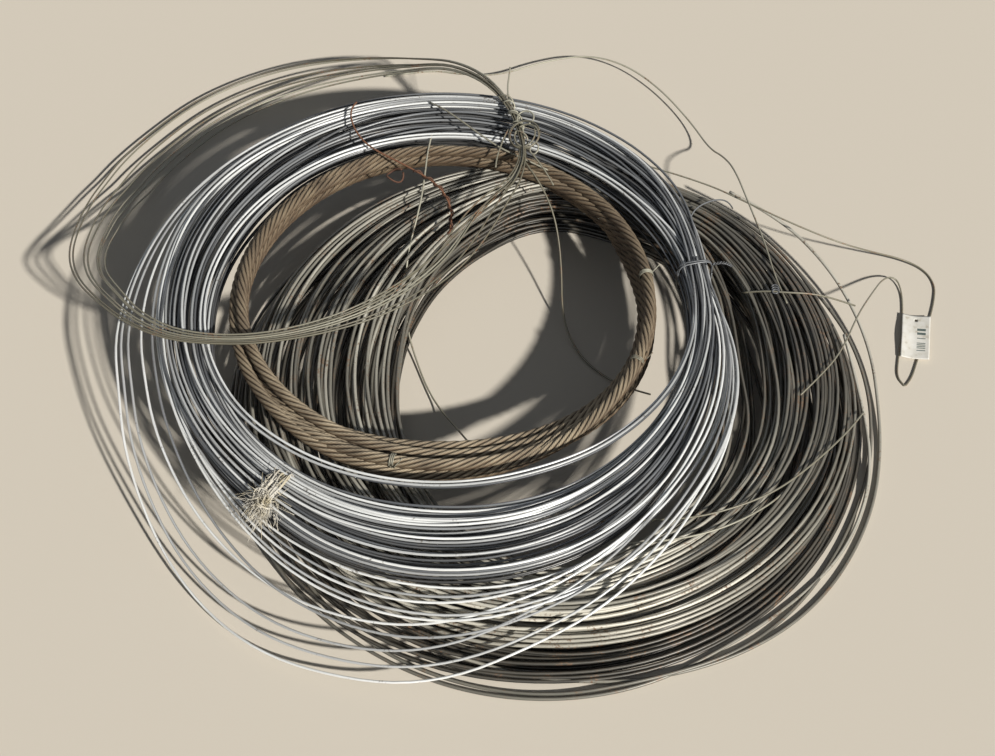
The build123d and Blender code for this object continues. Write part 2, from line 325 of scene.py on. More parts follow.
def noise(tree, place, scale, detail):
    """Noise at these places."""
    inputs = {0: place, "Scale": scale, "Detail": detail}
    return add(tree, "ShaderNodeTexNoise", inputs).outputs["Fac"]


def map_range(tree, value, ends, results):
    """A value carried from one range to another."""
    names = ("From Min", "From Max", "To Min", "To Max")
    inputs = {"Value": value, **dict(zip(names, (*ends, *results)))}
    return add(tree, "ShaderNodeMapRange", inputs).outputs[0]


def surface_places(tree):
    """Places on an object, and places round and along its wires."""
    place = add(tree, "ShaderNodeTexCoord").outputs["Object"]
    return place, add(tree, "ShaderNodeUVMap", uv_map="wire").outputs[0]


def facing_up(tree, low):
    """1 where the surface faces up, 0 where its normal's height is low or less."""
    normal = add(tree, "ShaderNodeNewGeometry").outputs["Normal"]
    up = add(tree, "ShaderNodeSeparateXYZ", {0: normal}).outputs["Z"]
    return ramp(tree, up, [(low, BLACK), (1.0, WHITE)])


def bumps(tree, *layers):
    """Bumps of (height, strength, distance in metres), each on the one before."""
    below = {}
    for height, strength, distance in layers:
        inputs = {"Height": height, "Strength": strength, "Distance": distance, **below}
        below = {"Normal": add(tree, "ShaderNodeBump", inputs).outputs[0]}
    return below["Normal"]


def wire_metal(name, grime_and_shade, dull, clean, stain, dust, metal, rough, stained, dusty):
    """Drawn wire: grime and painted shade deep in a coil, streaks along the wire, stains, and dust
    on top.
    """
    material, tree, shader = nodes_of(name)
    place, along = surface_places(tree)
    tone = add(tree, "ShaderNodeAttribute", attribute_name="tone").outputs["Fac"]
    drawn = add(tree, "ShaderNodeMapping", {0: along, "Scale": (5.0, 14.0, 1.0)}).outputs[0]
    streak = noise(tree, drawn, 1.0, 4.0)
    patch = noise(tree, place, 38.0, 5.0)
    speck = noise(tree, place, 420.0, 3.0)
    # the tone ramp runs from grime and painted shade, for wires deep in a coil, through dull wire
    # to clean wire
    colour = ramp(tree, tone, [(0.1, grime_and_shade), (0.42, dull), (0.85, clean)])
    worn = ramp(tree, streak, [(0.35, (0.55, 0.55, 0.55)), (0.65, WHITE)])
    colour = blend(tree, 0.7, colour, worn, "MULTIPLY")
    spots = maths(tree, "MULTIPLY", patch, speck)
    stain_share = ramp(tree, spots, [(stained, BLACK), (stained + 0.12, WHITE)])
    colour = blend(tree, stain_share, colour, stain)
    lying = maths(tree, "MULTIPLY", facing_up(tree, 0.2), patch)
    dust_share = maths(tree, "MULTIPLY", lying, dusty, clamp=True)
    give(tree, shader, {
        "Base Color": blend(tree, dust_share, colour, dust),
        "Metallic": metal,
        "Roughness": map_range(tree, streak, (0.3, 0.7), rough),
        "Normal": bumps(tree, (streak, 0.25, 0.0004), (speck, 0.25, 0.0004)),
    })
    return material


galvanised = wire_metal(
    "galvanised_wire",
    grime_and_shade=(0.035, 0.036, 0.038), dull=(0.11, 0.12, 0.135), clean=(0.88, 0.90, 0.90),
    stain=(0.10, 0.08, 0.06), dust=(0.50, 0.47, 0.42),
    metal=0.1, rough=(0.24, 0.42), stained=0.36, dusty=0.15,
)
weathered = wire_metal(
    "weathered_wire",
    grime_and_shade=(0.022, 0.021, 0.018), dull=(0.17, 0.165, 0.14), clean=(0.64, 0.62, 0.54),
    stain=(0.13, 0.065, 0.03), dust=(0.42, 0.37, 0.29),
    metal=0.12, rough=(0.32, 0.5), stained=0.3, dusty=0.3,
)
thin_steel = wire_metal(
    "thin_olive_wire",
    grime_and_shade=(0.05, 0.042, 0.026), dull=(0.14, 0.13, 0.09), clean=(0.42, 0.41, 0.33),
    stain=(0.16, 0.07, 0.03), dust=(0.40, 0.35, 0.26),
    metal=0.15, rough=(0.38, 0.55), stained=0.3, dusty=0.3,
)
rust_brown = wire_metal(
    "rusty_thin_wire",
    grime_and_shade=(0.05, 0.022, 0.012), dull=(0.085, 0.035, 0.02), clean=(0.20, 0.085, 0.045),
    stain=(0.05, 0.022, 0.012), dust=(0.36, 0.20, 0.11),
    metal=0.1, rough=(0.65, 0.85), stained=0.3, dusty=0.25,
)


def twine_material():
    """Pale twine: fibres that run slantwise along it."""
    material, tree, shader = nodes_of("pale_twine")
    place, along = surface_places(tree)
    slant = {0: along, "Scale": (16.0, 120.0, 1.0), "Rotation": (0, 0, 0.5)}
    fibre = noise(tree, add(tree, "ShaderNodeMapping", slant).outputs[0], 1.0, 5.0)
    patch = noise(tree, place, 90.0, 3.0)
    dark, plain, pale = (0.30, 0.26, 0.20), (0.62, 0.59, 0.52), (0.80, 0.78, 0.73)
    colour = ramp(tree, fibre, [(0.3, dark), (0.5, plain), (0.7, pale)])
    unsoiled = ramp(tree, patch, [(0.45, WHITE), (0.75, BLACK)])
    give(tree, shader, {
        "Base Color": blend(tree, unsoiled, (0.50, 0.42, 0.24), colour),
        "Roughness": 0.85,
        "Sheen Weight": 0.25,
        "Normal": bumps(tree, (fibre, 0.8, 0.0006)),
    })
    return material


def tag_material():
    """White card with a column of plain dark bars and a little dirt, sizes in metres."""
    bar_step, bars_across, bars_along = 0.0011, (0.0165, 0.0255), (0.011, 0.046)
    material, tree, shader = nodes_of("pale_card")
    place, on_card = surface_places(tree)
    split = add(tree, "ShaderNodeSeparateXYZ", {0: on_card})
    u, v = split.outputs[0], split.outputs[1]
    step = maths(tree, "FLOOR", maths(tree, "MULTIPLY", v, 1 / bar_step))
    chance = add(tree, "ShaderNodeTexWhiteNoise", {"W": step}, noise_dimensions="1D")
    bar = maths(tree, "GREATER_THAN", chance.outputs["Value"], 0.48)
    for socket, low, high in ((u, *bars_across), (v, *bars_along)):
        bar = maths(tree, "MULTIPLY", bar, maths(tree, "GREATER_THAN", socket, low))
        bar = maths(tree, "MULTIPLY", bar, maths(tree, "LESS_THAN", socket, high))
    dirt = noise(tree, place, 130.0, 5.0)
    clean, worn, dirty = (0.80, 0.79, 0.75), (0.72, 0.70, 0.64), (0.5, 0.46, 0.38)
    paper = ramp(tree, dirt, [(0.35, clean), (0.6, worn), (0.75, dirty)])
    give(tree, shader, {
        "Base Color": blend(tree, bar, paper, (0.10, 0.13, 0.12)),
        "Roughness": 0.55,
        "Normal": bumps(tree, (dirt, 0.2, 0.0005)),
    })
    return material


def rope_metal():
    """Rusty wire rope: fine wires laid round each strand, dirt and painted shade between them and
    in the grooves between strands, dust on top.
    """
    material, tree, shader = nodes_of("rusty_wire_rope")
    place, along = surface_places(tree)
    split = add(tree, "ShaderNodeSeparateXYZ", {0: along})
    round_strand = maths(tree, "MULTIPLY", split.outputs[0], 9.0)
    laid = maths(tree, "MULTIPLY_ADD", split.outputs[1], -240.0, round_strand)
    wave = maths(tree, "SINE", maths(tree, "MULTIPLY", laid, 2 * math.pi))
    lift = maths(tree, "MULTIPLY_ADD", wave, 0.5, 0.5)
    patch = noise(tree, place, 30.0, 6.0)
    speck = noise(tree, place, 380.0, 4.0)
    dark, brown, light = (0.07, 0.045, 0.027), (0.135, 0.09, 0.052), (0.20, 0.148, 0.09)
    rust = ramp(tree, patch, [(0.3, dark), (0.5, brown), (0.7, light)])
    # dirt and painted shade: darker between the fine wires of each strand
    groove_shade_and_dirt = ramp(tree, lift, [(0.0, (0.25, 0.21, 0.19)), (0.6, WHITE)])
    rust = blend(tree, 0.45, rust, groove_shade_and_dirt, "MULTIPLY")
    powder = maths(tree, "MULTIPLY", facing_up(tree, 0.35), patch)
    spot = add(tree, "ShaderNodeSeparateXYZ", {0: place})
    front = map_range(tree, spot.outputs["Y"], (0.05, -0.11), (0.55, 1.4))
    powder = maths(tree, "MULTIPLY", powder, front, clamp=True)
    colour = blend(tree, powder, rust, (0.50, 0.42, 0.30))
    outside = add(tree, "ShaderNodeAttribute", attribute_name="tone").outputs["Fac"]
    # dirt and painted shade: darker deep in the grooves between the strands
    strand_gap_shade_and_dirt = ramp(tree, outside, [(0.4, (0.10, 0.085, 0.07)), (0.95, WHITE)])
    give(tree, shader, {
        "Base Color": blend(tree, 0.9, colour, strand_gap_shade_and_dirt, "MULTIPLY"),
        "Metallic": 0.15,
        "Roughness": 0.72,
        "Normal": bumps(tree, (lift, 0.6, 0.0006), (speck, 0.4, 0.0006)),
    })
    return material


twine_fibre = twine_material()
tag_paper = tag_material()
rope_rust = rope_metal()


# Heights of the bottom coil
def base_top(x, y):
    """The bottom coil's top at a place, or the floor."""
    return np.interp(np.hypot(x, y), *base_profile, left=0, right=0)


def base_ceiling(radius):
    """The bottom coil's top at a radius, carried on level past its edge."""
    return np.interp(radius, base_profile[0][:-1], base_profile[1][:-1])


# Bottom coil: springy wire in rows, whose turns fan out at the sides and bunch at the tie
rng = np.random.default_rng(7)
base_columns = 22
base_rows = 4
base_stations = 116
base_inside = round_trip([
    (0, 172), (30, 206), (48, 228), (70, 238), (89, 244), (109, 214), (125, 193), (143, 172),
    (167, 155), (191, 154), (220, 172), (250, 214), (272, 236), (293, 220), (312, 206), (334, 186),
])
base_outside = round_trip([
    (0, 328), (45, 329), (65, 322), (90, 318), (120, 322), (160, 331), (200, 331), (250, 325),
    (270, 321), (290, 322), (320, 324), (340, 326),
])
base_outward = round_trip([
    # how much the turns gather towards the outside
    (0, 0.62), (45, 0.85), (90, 1.0), (150, 1.05), (200, 1.05), (250, 0.95), (300, 0.75),
    (335, 0.62),
])
base_lightness = round_trip([
    # how light the turns are drawn: darkest at the right, lightest at the front
    (0, 0.2), (38, 0.25), (80, 0.7), (130, 0.8), (200, 0.8), (245, 1.35), (285, 1.35), (322, 0.7),
])
column, row = wound(rng, base_columns, base_rows, 3.0)
samples = len(column) * base_stations
angles = 50 + np.arange(samples) * 360 / base_stations
turn = np.radians(angles)
across = by_turn((column + 0.5) / base_columns, base_stations)
# how many columns a turn may stray: more at the front
restless = 2.2 + 3.6 * np.clip(0.35 - np.sin(turn - 0.4), 0, 1)
across += (wander(rng, samples, base_stations * 0.27) - 0.5) * restless / base_columns
across = np.clip(across, 0, 1) ** base_outward(angles)
level = by_turn(row / (base_rows - 1), base_stations)
level = np.clip(level + 0.2 * (wander(rng, samples, base_stations * 0.31) - 0.5), 0, 1)
inside, outside = base_inside(angles), base_outside(angles) - 30 * level**2
radius = inside + (outside - inside) * across
height = plain_wire / 2 + (base_ceiling(radius) - plain_wire) * level
radius, height = push_apart(
    radius, height, base_stations, plain_wire, 26, 7, lambda r: plain_wire / 2
)
height = np.minimum(height, bright_floor - plain_wire / 2)
base_run = ring_run((0, 0), radius, turn, height)
# painted shade: wires are painted dark from the first depth under the coil's top, and light up to
# the second
dark_under, light_under = 32, 6
base_shading = (height - base_ceiling(radius) + dark_under) / (dark_under - light_under)
# a random power for each stretch of wire, which sets how strongly it takes the darkening at the
# right
dirt = 2.4 * wander(rng, samples, base_stations * 0.7)
clean = base_lightness(angles)
base_shading = np.clip(base_shading, 0, 1) * np.maximum(clean, 1) * np.minimum(clean, 1) ** dirt
base_coil = wires("bottom_coil_wire", [base_run], plain_drawn, 8, rng, [base_shading])
base_coil.data.materials.append(weathered)
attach(base_coil, "root")
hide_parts("bottom_coil")

# Bright coil: galvanised wire, tight at its two ties. Some turns have sprung out over the
# front and down to the floor, a few inwards, and each goes back into the coil.
rng = np.random.default_rng(11)
bright_columns = 13
bright_rows = 4
bright_stations = 150
bright_start = 14
sprung_lanes = {
    # number of the turn: how far out it has sprung at the left, the front and the right
    2: (1.0, 1.0, 0.9), 8: (0.0, 0.14, 0.5), 15: (0.74, 0.72, 0.1), 22: (0.0, 0.32, 1.0),
    28: (0.08, 0.0, 0.6), 35: (0.46, 0.47, 0.2), 42: (0.88, 0.86, 0.8), 48: (0.0, 0.22, 0.35),
    54: (0.20, 0.60, 0.65), 61: (0.0, 0.38, 0.95),
}
# turns that lie slack inside the coil
slack_numbers = (6, 32, 51)
bright_turns = bright_columns * bright_rows + len(sprung_lanes) + len(slack_numbers)
bright_inside = round_trip([
    (12, 246), (35, 243), (58, 243), (85, 254), (103, 255), (128, 250), (145, 243), (162, 239),
    (185, 236), (210, 236), (235, 236), (268, 232), (296, 238), (320, 242), (349, 246),
])
bright_outside = round_trip([
    (12, 277), (36, 302), (58, 315), (80, 322), (100, 326), (123, 324), (143, 314), (160, 302),
    (178, 290), (197, 283), (217, 281), (235, 285), (250, 296), (268, 305), (292, 306), (310, 298),
    (332, 282), (356, 275),
])
bright_outward = round_trip([
    # below 1 the turns gather towards the outside, above 1 towards the inside
    (12, 1.0), (60, 1.1), (100, 1.15), (140, 1.45), (170, 1.3), (200, 1.1), (235, 1.0), (275, 1.0),
    (310, 1.1), (345, 1.0),
])
bright_thick = round_trip([
    (12, 30), (60, 30), (100, 30), (150, 32), (180, 34), (210, 35), (235, 33), (270, 33), (320, 32),
])
sprung_outer = round_trip([
    # angle about the bright coil, radius, height
    (0, 287, 100), (12, 278, 100), (26, 283, 102), (48, 300, 104), (74, 308, 106), (120, 314, 104),
    (150, 322, 102), (170, 328, 98), (185, 333, 92), (195, 334, 82), (204, 342, 58), (216, 352, 24),
    (230, 366, 6), (243, 377, 2.5), (255, 380, 2.5), (265, 381, 3), (274, 377, 8), (285, 368, 22),
    (294, 362, 46), (304, 350, 64), (317, 332, 80), (332, 317, 90), (346, 303, 96),
])
sprung_inner = round_trip([
    (0, 266, 104), (12, 262, 104), (26, 266, 105), (48, 280, 106), (74, 288, 106),
    (120, 292, 106), (150, 294, 104), (170, 286, 102), (185, 282, 100), (200, 281, 96),
    (216, 282, 90), (230, 286, 84), (243, 294, 80), (256, 303, 80), (270, 306, 80),
    (284, 304, 81), (296, 299, 83), (310, 291, 87), (322, 285, 92), (334, 279, 97),
    (348, 271, 101),
])
slack_ring = round_trip([
    (0, 252, 106), (60, 246, 106), (120, 246, 106), (180, 244, 106), (208, 236, 106),
    (232, 226, 108), (262, 217, 107), (290, 219, 107), (315, 232, 107), (340, 246, 106),
])
samples = bright_turns * bright_stations
angles = bright_start + np.arange(samples) * 360 / bright_stations
turn = np.radians(angles)
column, row = wound(rng, bright_columns, bright_rows, 5.0)
packed_numbers = sorted(set(range(bright_turns)) - set(sprung_lanes) - set(slack_numbers))
every_turn = np.arange(bright_turns)
across = np.interp(every_turn, packed_numbers, (column + 0.5) / bright_columns)
across = by_turn(across, bright_stations, hold=2.0)
stray_columns = 4.2
across += (wander(rng, samples, bright_stations * 0.31) - 0.5) * stray_columns / bright_columns
across = bunched(np.clip(across, 0, 1), angles, bunches=4.5, strength=0.9, drift=0.45)
across = np.clip(across, 0, 1) ** bright_outward(angles)
level = np.interp(every_turn, packed_numbers, row / (bright_rows - 1))
level = by_turn(level, bright_stations, hold=2.0)
level = np.clip(level + 0.5 * (wander(rng, samples, bright_stations * 0.37) - 0.5), 0, 1)
inside, outside = bright_inside(angles), bright_outside(angles)
crown = 1 - 0.35 * (2 * across - 1) ** 2
radius = inside + (outside - inside) * across
height = bright_floor + bright_wire / 2 + bright_thick(angles) * crown * level
packed = np.stack([radius, height], -1)
share_of_turn = (np.arange(samples) % bright_stations) / bright_stations
lane = np.zeros(samples)
for number, (at_left, at_front, at_right) in sprung_lanes.items():
    span = slice(number * bright_stations, (number + 1) * bright_stations)
    lane[span] = np.interp(
        share_of_turn[span], [0.1, 0.5, 0.7, 0.9, 1.0], [0.5, at_left, at_front, at_right, 0.5]
    )
lane = smooth_along(lane, 60)[:, None]
sprung = sprung_inner(angles) + (sprung_outer(angles) - sprung_inner(angles)) * lane
sprung[:, 1] += 3 * (level - 0.5)
slack_spread = 6 + 14 * np.clip(-np.sin(turn), 0, 1)
slack = slack_ring(angles) + np.stack([slack_spread * (across - 0.5), 4 * (level - 0.5)], -1)
is_sprung, is_slack = (
    eased_turns([n in numbers for n in every_turn], bright_stations, 0.16)
    for numbers in (sprung_lanes, slack_numbers)
)
is_packed = 1 - is_sprung - is_slack
mixed = packed * is_packed[:, None] + sprung * is_sprung[:, None] + slack * is_slack[:, None]


def under_bright(r):
    """The lowest a bright wire lies: on the bottom coil, or on the floor outside it."""
    x, y, _ = ring_run(bright_centre, r, turn, r).T
    return np.where(np.hypot(x, y) < base_bore, 0, base_top(x, y)) + bright_wire / 2


radius, height = push_apart(
    mixed[:, 0], mixed[:, 1], bright_stations, bright_wire, 30, 12, under_bright
)
bright_run = ring_run(bright_centre, radius, turn, smooth_along(height, 2))
# how light the turns are drawn: most at the front, least at the back
bright_lightness = 0.7 + 0.6 * (0.5 - 0.5 * np.sin(turn)) ** 2
# painted shade: lower rows of the packed turns are drawn darker, while sprung and slack turns keep
# their full tone
bright_shading = np.maximum(bright_lightness * level**1.7, is_sprung + is_slack)
loose_runs, coil_runs, loose_shading, coil_shading = [], [], [], []
edges = sorted({0, bright_turns} | set(sprung_lanes) | {n + 1 for n in sprung_lanes})
for first, last in zip(edges, edges[1:]):
    part = slice(first * bright_stations, last * bright_stations + 1)
    (loose_runs if first in sprung_lanes else coil_runs).append(bright_run[part])
    (loose_shading if first in sprung_lanes else coil_shading).append(bright_shading[part])
for name, runs, shading, nodes in (
    ("bright_coil_wire", coil_runs, coil_shading, ["bright_coil"]),
    ("sprung_turns", loose_runs, loose_shading, ["outer_sprung_turn", "inner_sprung_turn"]),
):
    coil = wires(name, runs, bright_drawn, 8, rng, shading)
    coil.data.materials.append(galvanised)
    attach(coil, "root")
    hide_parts(*nodes)

# Wire rope: one cord, five turns, its points the control points of a smooth spline
rope_points_a_turn = 14
rope_turns = [
    # radius and height of each turn at the right, the far side, the left and the front
    ((214, 98.0), (220, 98.0), (218, 93.0), (214, 82.0)),
    ((219, 86.5), (228, 87.0), (211, 84.0), (201, 82.0)),
    ((213, 75.5), (215, 88.0), (211, 102.0), (188, 82.0)),
    ((219, 64.5), (225, 77.0), (218, 75.0), (207, 93.0)),
    ((211, 58.0), (233, 69.0), (215, 66.0), (175, 79.0)),
]
rope_start = 67
rope_route = []
for number, quarter in enumerate(rope_turns):
    following = rope_turns[min(number + 1, len(rope_turns) - 1)]
    ring = round_trip([(90 * q, *quarter[q]) for q in range(4)])
    next_ring = round_trip([(90 * q, *following[q]) for q in range(4)])
    for step in range(rope_points_a_turn):
        share = step / rope_points_a_turn
        angle = rope_start + 360 * share
        # over the last quarter of a turn the rope moves across to the next one
        move = min(1, max(0, (share - 0.75) / 0.25))
        r, z = ring(angle) * (1 - move) + next_ring(angle) * move
        a = math.radians(angle)
        rope_route.append((rope_centre[0] + r * math.cos(a), rope_centre[1] + r * math.sin(a), z))


def spline_line(name, route, spacing):
    """Even points along the smooth spline whose control points are the route's."""
    curve = bpy.data.curves.new(name, "CURVE")
    curve.dimensions = "3D"
    curve.resolution_u = 12
    spline = curve.splines.new("NURBS")
    spline.points.add(len(route) - 1)
    for point, place in zip(spline.points, route):
        point.co = (*place, 1)
    spline.order_u = 3
    spline.use_endpoint_u = True
    obj = bpy.data.objects.new(name, curve)
    mesh = bpy.data.meshes.new_from_object(obj)
    points = np.array([v.co for v in mesh.vertices], float)
    bpy.data.objects.remove(obj)
    bpy.data.meshes.remove(mesh)
    bpy.data.curves.remove(curve)
    run = run_length(points)
    stops = np.linspace(0, run[-1], max(2, round(run[-1] / spacing) + 1))
    return np.stack([np.interp(stops, run, points[:, k]) for k in range(3)], -1)


rng = np.random.default_rng(3)
rope_line = spline_line("rope_route", rope_route, 5.5)
rope_length = float(run_length(rope_line)[-1])
side, up = sections(rope_line)
run = np.arange(len(rope_line)) * rope_length / (len(rope_line) - 1)
rope_lay = 70.0
strand_count = 6
strand_diameter = 4.1
strand_sides = 8
strand_ring = (rope_drawn - strand_diameter) / 2
strands = []
for strand in range(strand_count):
    phase = (run / rope_lay + strand / strand_count) * 2 * np.pi
    out = side * np.cos(phase)[:, None] + up * np.sin(phase)[:, None]
    strands.append(rope_line + out * strand_ring)
strands.append(rope_line)
rope = wires("rope_coil_strands", strands, strand_diameter, strand_sides, rng)
# a strand's tone tells how far out its surface is, so that dirt and painted shade can lie in the
# grooves: 0 up to the first of these shares of the rope's radius, and 1 from the second on
groove_share, open_share = 0.55, 0.95
corners = np.empty(len(rope.data.vertices) * 3)
rope.data.vertices.foreach_get("co", corners)
middles = np.tile(np.repeat(rope_line, strand_sides, axis=0), (len(strands), 1))
out = np.linalg.norm(corners.reshape(-1, 3) / MM - middles, axis=1) / (rope_drawn / 2)
outsides = np.clip((out - groove_share) / (open_share - groove_share), 0, 1)
rope.data.attributes["tone"].data.foreach_set("value", outsides.astype(np.float32))
rope.data.materials.append(rope_rust)
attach(rope, "root")
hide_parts("rope_coil")

# Hank of thin wire
rng = np.random.default_rng(5)
hank_turns = 7
hank_stations = 130
hank_start = 8
hank_shape = round_trip([
    # angle, outside radius, height, spread inwards
    (2, 252, 117, 3), (8, 253, 117, 3), (20, 252, 117, 3), (33, 251, 113, 8), (48, 254, 92, 16),
    (63, 258, 60, 28), (80, 262, 32, 40), (100, 264, 12, 52), (120, 258, 4, 58),
    (140, 248, 3, 58), (160, 243, 10, 56), (170, 243, 18, 52), (180, 244, 30, 48),
    (190, 247, 46, 46), (200, 252, 66, 42), (210, 258, 88, 36), (219, 264, 106, 30),
    (228, 268, 116, 26), (236, 270, 118, 20), (246, 268, 118, 15), (260, 256, 117, 12),
    (278, 244, 116, 17), (300, 240, 116, 30), (320, 241, 116, 42), (335, 242, 116, 46),
    (346, 245, 116.5, 36), (354, 250, 117, 16),
])
samples = hank_turns * hank_stations
angles = hank_start + np.arange(samples) * 360 / hank_stations
outer, lift, spread = hank_shape(angles).T
across = by_turn(np.array([0.1, 0.75, 0.4, 1.0, 0.0, 0.55, 0.88]), hank_stations)
across = np.clip(across + 0.16 * (wander(rng, samples, hank_stations * 0.4) - 0.5), 0, 1)
level = wander(rng, samples, hank_stations * 0.45)
radius = outer - thin_wire - spread * across
lifted = np.clip((lift - 20) / 60, 0, 1)
height = lift + 10 * level * (1 - lifted) + 3 * level * lifted
radius, height = push_apart(
    radius, height, hank_stations, thin_wire, 20, 10, lambda r: thin_wire / 2
)
hank_run = ring_run(hank_centre, radius, np.radians(angles), height)
hank = wires("thin_wire_hank", [hank_run], thin_drawn, 6, rng)
hank.data.materials.append(thin_steel)
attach(hank, "root")
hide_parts("wire_hank")


# Loose wires, each along a smooth spline
def round_line(stations):
    """Points of a line from (angle, distance from the bottom coil's axis, height) stations."""
    angle, reach, height = np.array(stations, float).T
    return ring_run((0, 0), reach, np.radians(angle), height)


def beside_base_route(stations, reach, wire):
    """The route of a loose wire from (angle, share of its reach, level) stations.

    The reach is measured from the bottom coil's edge. The level counts in wires above that
    coil, and outside it in shares of its height."""
    route = []
    for angle, share, level in stations:
        out = share * reach
        if out < 0:
            drop = max(0, (out + slope_width) / slope_width) * slope_drop
            height = base_height - drop + 0.3 + wire * (level + 0.5)
        else:
            height = wire / 2 + level * base_height
        route.append((angle, base_reach + out, height))
    return round_line(route)


def loose_wires(name, routes, diameter, sides, material, nodes, spacing, rng):
    """A piece of loose wires that follow smooth splines."""
    runs = [spline_line(name, route, spacing) for route in routes]
    piece = wires(name, runs, diameter, sides, rng)
    piece.data.materials.append(material)
    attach(piece, "root")
    if nodes:
        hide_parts(*nodes)


floor_routes = [
    # angle, distance from the bottom coil's axis, height
    [
        (52, 338, 44), (42, 350, 38), (30, 352, 30), (20, 352, 20), (10, 350, 11), (0, 345, 5),
        (-10, 345, 2.5), (-20, 347, 2.3), (-30, 348, 2.3), (-40, 349, 2.3), (-50, 347, 2.3),
        (-60, 341, 2.3), (-70, 334, 2.3), (-80, 327, 2.4), (-95, 320, 5), (-110, 312, 14),
    ],
    [
        (36, 318, 34), (20, 332, 20), (5, 338, 10), (-10, 337, 4), (-22, 334, 2.3), (-35, 335, 2.3),
        (-48, 339, 2.3), (-60, 339, 2.3), (-75, 334, 6.8), (-90, 337, 2.3), (-105, 336, 2.3),
        (-120, 331, 2.3), (-135, 324, 8), (-148, 314, 20),
    ],
    [
        (14, 326, 22), (-4, 330, 12), (-18, 340, 6.8), (-32, 341, 2.3), (-46, 332, 2.3),
        (-60, 329, 2.3), (-75, 338, 2.3), (-90, 342, 2.3), (-105, 342, 2.3), (-120, 338, 2.4),
        (-135, 334, 4), (-150, 330, 10), (-168, 328, 18), (-185, 320, 26),
    ],
]
rng = np.random.default_rng(21)
floor_lines = [round_line(r) for r in floor_routes]
loose_wires(
    "floor_turns", floor_lines, plain_drawn, 8, weathered, ["floor_turn"], 7, rng
)

free_reach, tag_reach = 200, 130
free_stations = [
    (110.4, 1.007, 0.024), (104.4, 0.993, 0), (100.2, 0.880, 0.06), (95.4, 0.821, 0.12),
    (89.1, 0.910, 0.18), (83.5, 0.977, 0.2), (78.3, 0.934, 0.18), (72.9, 0.799, 0.13),
    (66.8, 0.598, 0.1), (61.6, 0.398, 0.2), (57.2, 0.232, 0.624), (52.1, 0.064, 0.957),
    (44.1, -0.115, 7.801), (34.4, -0.243, 1.309), (24.6, -0.340, 0.083), (17, -0.36, 0.05),
]
free_route = beside_base_route(free_stations, free_reach, thin_wire)
loose_wires(
    "free_thin_wire", [free_route], thin_drawn, 8, thin_steel, ["free_wire"], 5, rng
)
tag_stations = [
    (69.9, -0.096, 0.559), (56.8, -0.109, 3.492), (45.8, -0.106, 5.664), (36.9, 0.045, 0.784),
    (30.6, 0.316, 0.571), (28.1, 0.612, 0.304), (26.7, 0.866, 0.077), (24.2, 0.996, 0.005),
    (21.2, 0.995, 0), (18.5, 0.893, 0.001), (15.6, 0.768, 0), (12.4, 0.643, 0.001),
    (8.8, 0.521, 0), (5.6, 0.430, 0.001), (3.9, 0.353, 0), (3.9, 0.353, 0), (5.9, 0.307, 0.001),
    (9.5, 0.371, 0), (14.1, 0.483, 0.001), (18.2, 0.596, 0), (21.7, 0.692, 0.003),
    (24.2, 0.717, 0.051), (24.3, 0.586, 0.144), (20.6, 0.338, 0.344), (14.7, 0.055, 0.624),
    (4.2, -0.232, 2.777), (-2.9, -0.413, 0.751), (-9.8, -0.603, 0),
]
tag_route = beside_base_route(tag_stations, tag_reach, thin_wire)
loose_wires("tag_thin_wire", [tag_route], 1.8, 8, thin_steel, ["tag_wire"], 4, rng)

# Stray ends: points across, along and up
stray_routes = [
    # from the back of the rope down through the eye and under the rope in front
    [
        (-122, 292, 106), (-126, 272, 103), (-128, 240, 100), (-131, 215, 92), (-137, 189, 80),
        (-146, 160, 60), (-149, 126, 34), (-146, 92, 14), (-138, 65, 5), (-124, 22, 3),
        (-108, -12, 8), (-90, -50, 28), (-78, -84, 52),
    ],
    # from the knot down through the eye
    [
        (-27, 262, 113), (-22, 245, 114), (-6, 224, 106), (9, 200, 86), (16, 178, 62),
        (19, 150, 38), (19, 122, 18), (25, 92, 6), (40, 62, 2), (60, 40, 2), (84, 20, 6),
        (108, 4, 16),
    ],
    # over the back of the bright coil and down beside the knot
    [
        (-125, 338, 112), (-113, 326, 117), (-89, 302, 118), (-64, 277, 117), (-44, 266, 110),
        (-15, 258, 100), (6, 252, 92),
    ],
    # across the bottom coil in front
    [
        (48, -186, 66), (90, -189, 74), (133, -190, 78), (176, -178, 79), (214, -160, 79),
        (248, -132, 78), (278, -100, 72), (303, -66, 58), (318, -40, 44),
    ],
    [
        (66, -214, 72), (104, -216, 78), (150, -206, 79), (190, -186, 78), (222, -160, 74),
        (240, -130, 60),
    ],
    # across the bottom coil at the right
    [(205, 96, 70), (226, 92, 78), (250, 88, 79.5), (274, 89, 77), (300, 92, 66), (326, 97, 48)],
]
loose_wires("stray_wires", stray_routes, thin_drawn, 7, thin_steel, [], 5, rng)


def twisted(line, offset, lay, start):
    """A line that winds round another one."""
    side, up = sections(line)
    phase = start + 2 * np.pi * run_length(line) / lay
    return line + offset * (side * np.cos(phase)[:, None] + up * np.sin(phase)[:, None])


# Rusty wire at the back: a bent end, and a stretch where it is twisted double
rust_route = [
    (-206, 338, 112), (-210, 325, 118), (-211, 306, 119), (-203, 284, 117), (-190, 267, 115),
    (-172, 255, 113), (-150, 243, 110), (-124, 227, 106), (-110, 214, 103), (-101, 198, 98),
    (-98, 182, 91), (-101, 166, 83),
]
rust_line = spline_line("rusty_route", rust_route, 2.0)
twist_line = rust_line[int(len(rust_line) * 0.6) :]
s = np.linspace(0.6, 6.6, 26)
curl = ring_run((-160, 232), 9, s, 105 + 3 * np.sin(2 * s))
rusty_runs = [rust_line, twisted(twist_line, 2.2, 15, 0.0), curl]
rusty = wires("rusty_stray_wire", rusty_runs, 2.0, 7, rng)
rusty.data.materials.append(rust_brown)
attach(rusty, "root")

# Seizings of fine wire on the rope
seizing_wire, seizing_wraps, seizing_width = 1.3, 3, 5
seizing_runs = []
